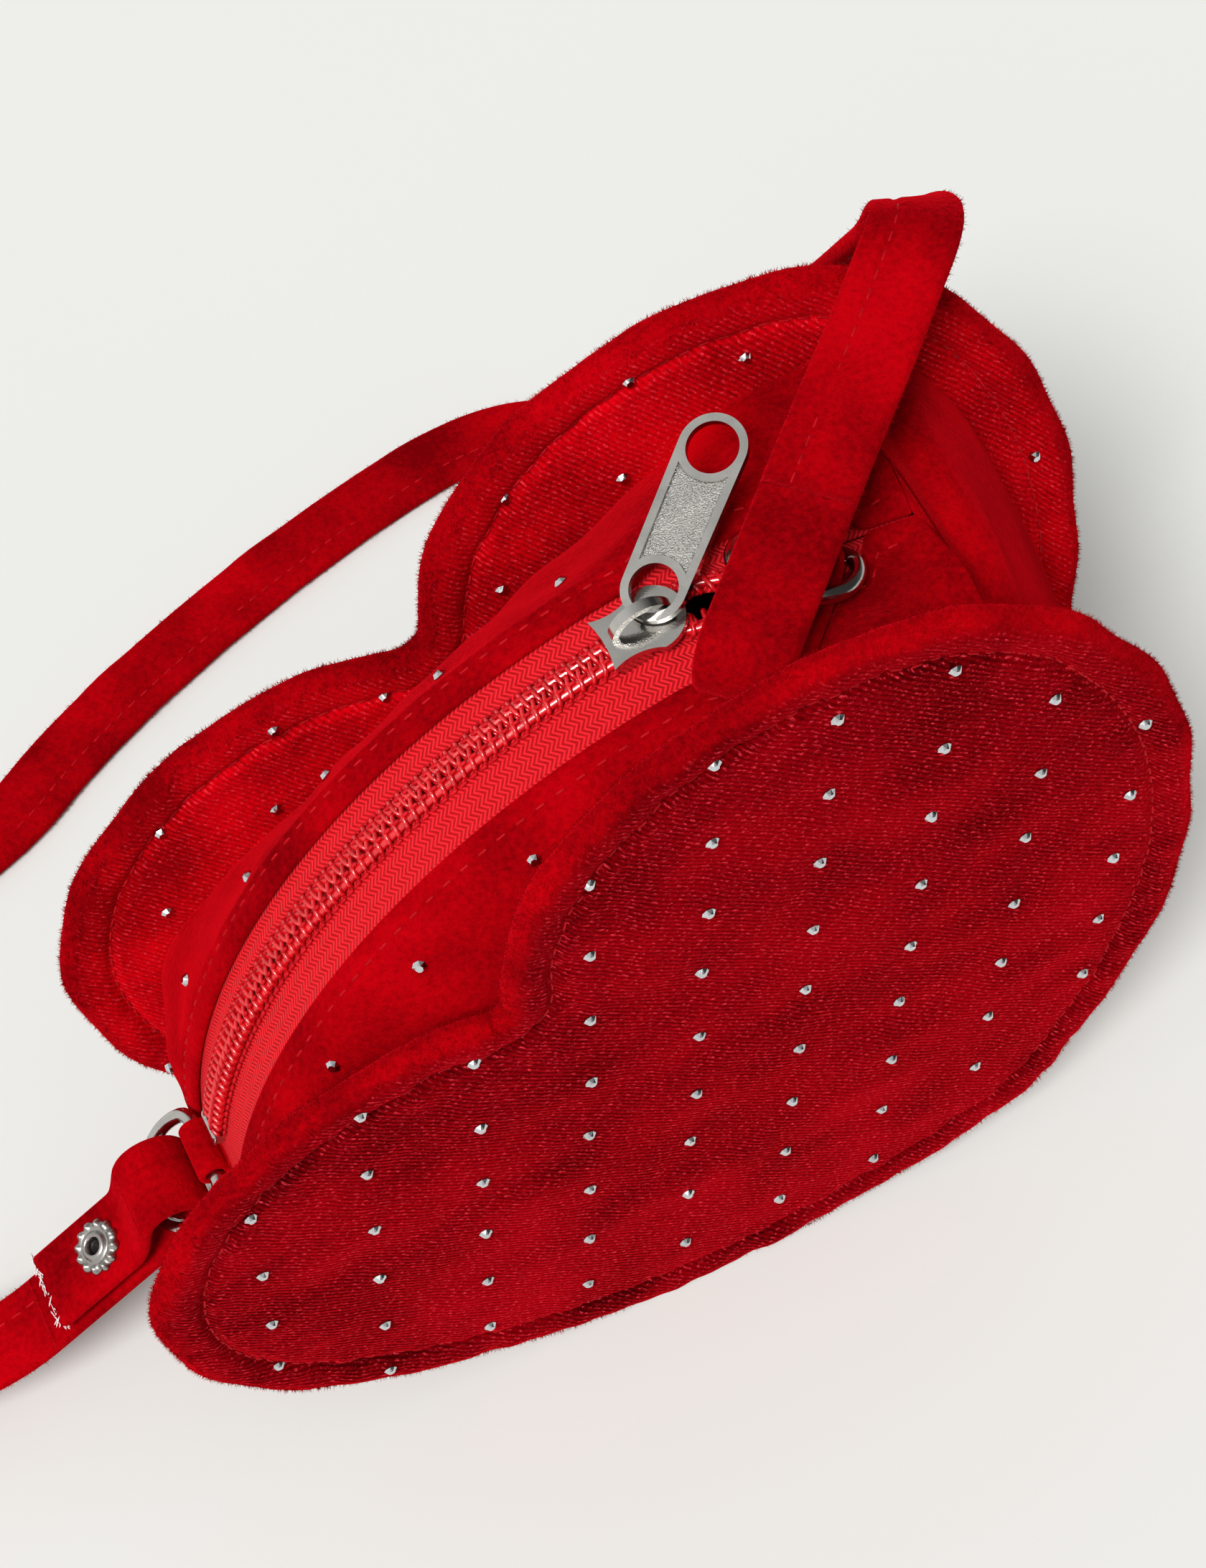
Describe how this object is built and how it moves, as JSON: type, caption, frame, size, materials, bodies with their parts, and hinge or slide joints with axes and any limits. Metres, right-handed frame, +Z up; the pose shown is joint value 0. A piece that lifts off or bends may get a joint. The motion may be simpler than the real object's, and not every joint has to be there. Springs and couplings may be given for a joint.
{
  "type": "heart shaped purse",
  "caption": "Small heart shaped velvet purse lying on its flank: two padded heart panels, zipped gusset with slider and pull, D-rings, strap with a press snap, and glass stones.",
  "frame": {"origin": "middle of the footprint of the purse without its strap, on the floor it lies on", "axes": "+Z up, +Y from the front heart panel to the back one, +X to the right seen from the front"},
  "size_m": [0.3041, 0.2074, 0.1881],
  "materials": {
    "velvet_red": "matte",
    "wadding": "matte",
    "tape_red": "matte",
    "nylon_red": "gloss",
    "nickel": "polished",
    "snap_metal": "satin",
    "stone_glass": "gloss"
  },
  "bodies": {
    "bag": {"front_outer_panel": "velvet_red", "front_inner_panel": "velvet_red", "back_inner_panel": "velvet_red", "back_outer_panel": "velvet_red", "zip_band_front": "velvet_red", "zip_band_back": "velvet_red", "lower_gusset": "velvet_red", "ring_tab_left": "velvet_red", "ring_tab_right": "velvet_red", "strap": "velvet_red", "strap_end_left": "velvet_red", "strap_end_right": "velvet_red", "front_wadding": "wadding", "back_wadding": "wadding", "zip_tape_front": "tape_red", "zip_tape_back": "tape_red", "zip_coil_front": "nylon_red", "zip_coil_back": "nylon_red", "zip_bottom_stop": "nickel", "zip_top_stops": "nickel", "snap_stud_left": "snap_metal", "snap_back_left": "snap_metal", "stones_front": "stone_glass", "stones_back": "stone_glass", "stones_inner_front": "stone_glass", "stones_inner_back": "stone_glass", "stones_bands": "stone_glass"},
    "slider": {"slider_body": "nickel", "slider_bridge": "nickel"},
    "pull": {"pull_tab": "nickel"},
    "ring_left": {"d_ring_left": "nickel"},
    "ring_right": {"d_ring_right": "nickel"},
    "flap_left": {"strap_flap_left": "velvet_red", "snap_cap_left": "snap_metal", "snap_socket_left": "snap_metal"}
  },
  "joints": [
    {"name": "zip_slider", "type": "hinge", "parent": "bag", "child": "slider", "pos_m": [0.04006, -0.003, 0.05491], "axis": [0, 1, 0], "range_deg": [-62.5, 1], "deforming": ["zip_coil_front", "zip_coil_back", "zip_tape_front", "zip_tape_back", "strap"]},
    {"name": "pull_swing", "type": "hinge", "parent": "slider", "child": "pull", "pos_m": [0.00896, -0.003, 0.16625], "axis": [0.603, -0.7905, 0.1075], "range_deg": [-8, 115], "deforming": ["zip_coil_front", "zip_coil_back", "zip_tape_front", "zip_tape_back", "strap"]},
    {"name": "ring_left_swing", "type": "hinge", "parent": "bag", "child": "ring_left", "pos_m": [-0.07319, -0.003, 0.06084], "axis": [0, 1, 0], "range_deg": [-8, 5]},
    {"name": "ring_right_swing", "type": "hinge", "parent": "bag", "child": "ring_right", "pos_m": [0.03611, -0.003, 0.16824], "axis": [-0.7067, 0.7071, -0.0246], "range_deg": [-5, 8]},
    {"name": "flap_left_snap", "type": "hinge", "parent": "bag", "child": "flap_left", "pos_m": [-0.08839, -0.003, 0.05421], "axis": [0, 1, 0], "range_deg": [0, 100]}
  ]
}
